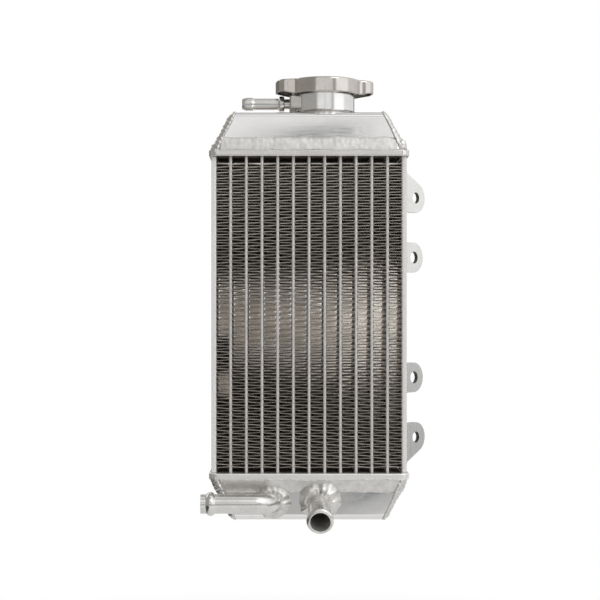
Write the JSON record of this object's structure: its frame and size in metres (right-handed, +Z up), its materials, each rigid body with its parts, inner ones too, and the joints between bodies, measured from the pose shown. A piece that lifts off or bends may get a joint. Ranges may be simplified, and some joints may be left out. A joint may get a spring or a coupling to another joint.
{
  "type": "small aluminium radiator",
  "caption": "Upright aluminium radiator: brazed tube and fin core between two welded tanks, with filler neck, two-ear pressure cap, overflow nipple, hose stubs and side mounting tabs.",
  "frame": {"origin": "middle of the bottom tank's flat underside", "axes": "+Z up through the core towards the filler cap, -Y towards the hose stubs (front), +X towards the mounting tabs"},
  "size_m": [0.1449, 0.0817, 0.2885],
  "materials": {
    "tank_aluminium": "satin, welded",
    "tube_aluminium": "satin, brazed",
    "fin_aluminium": "dull, thin sheet",
    "tab_aluminium": "mill finish",
    "polished_pipe": "polished",
    "cap_chrome": "bright plated",
    "cap_steel": "plain",
    "spring_steel": "drawn wire",
    "black_rubber": "moulded"
  },
  "bodies": {
    "radiator": {"bottom_tank_baffle": "tank_aluminium", "bottom_tank_end_left": "tank_aluminium", "bottom_tank_end_right": "tank_aluminium", "bottom_tank_shell": "tank_aluminium", "elbow_stub": "polished_pipe", "filler_neck": "tank_aluminium", "fin_01": "fin_aluminium", "fin_02": "fin_aluminium", "fin_03": "fin_aluminium", "fin_04": "fin_aluminium", "fin_05": "fin_aluminium", "fin_06": "fin_aluminium", "fin_07": "fin_aluminium", "fin_08": "fin_aluminium", "fin_09": "fin_aluminium", "fin_10": "fin_aluminium", "fin_11": "fin_aluminium", "fin_12": "fin_aluminium", "header_bottom": "tank_aluminium", "header_top": "tank_aluminium", "outlet_stub": "polished_pipe", "overflow_nipple": "polished_pipe", "side_plate_left": "tank_aluminium", "side_plate_right": "tank_aluminium", "tab_lower_inner": "tab_aluminium", "tab_lower_outer": "tab_aluminium", "tab_upper_inner": "tab_aluminium", "tab_upper_outer": "tab_aluminium", "top_tank_end_left": "tank_aluminium", "top_tank_end_right": "tank_aluminium", "top_tank_shell": "tank_aluminium", "tube_01": "tube_aluminium", "tube_02": "tube_aluminium", "tube_03": "tube_aluminium", "tube_04": "tube_aluminium", "tube_05": "tube_aluminium", "tube_06": "tube_aluminium", "tube_07": "tube_aluminium", "tube_08": "tube_aluminium", "tube_09": "tube_aluminium", "tube_10": "tube_aluminium", "tube_11": "tube_aluminium"},
    "cap_stack": {"cap_rivet": "cap_steel", "cap_diaphragm": "cap_steel", "cap_bell": "cap_steel", "pressure_spring": "spring_steel"},
    "cap_cover": {"cap_cover": "cap_chrome"},
    "pressure_valve": {"pressure_plate": "cap_steel", "pressure_gasket": "black_rubber", "vacuum_spring": "spring_steel"},
    "vacuum_valve": {"vacuum_valve": "cap_steel"}
  },
  "joints": [
    {"name": "cap_lift", "type": "slide", "parent": "radiator", "child": "cap_stack", "axis": [0, 0, 1], "range_m": [0, 0.045]},
    {"name": "cap_turn", "type": "hinge", "parent": "cap_stack", "child": "cap_cover", "pos_m": [0.0104, 0, 0.2794], "axis": [0, 0, 1], "range_deg": [-90, 0]},
    {"name": "pressure_valve_lift", "type": "slide", "parent": "cap_stack", "child": "pressure_valve", "axis": [0, 0, 1], "range_m": [0, 0.0025], "stiffness_N_per_m": 5000, "springref_m": -0.01, "deforming": ["pressure_spring"]},
    {"name": "vacuum_valve_drop", "type": "slide", "parent": "pressure_valve", "child": "vacuum_valve", "axis": [0, 0, -1], "range_m": [0, 0.0015], "stiffness_N_per_m": 150, "springref_m": -0.002, "deforming": ["vacuum_spring"]}
  ]
}
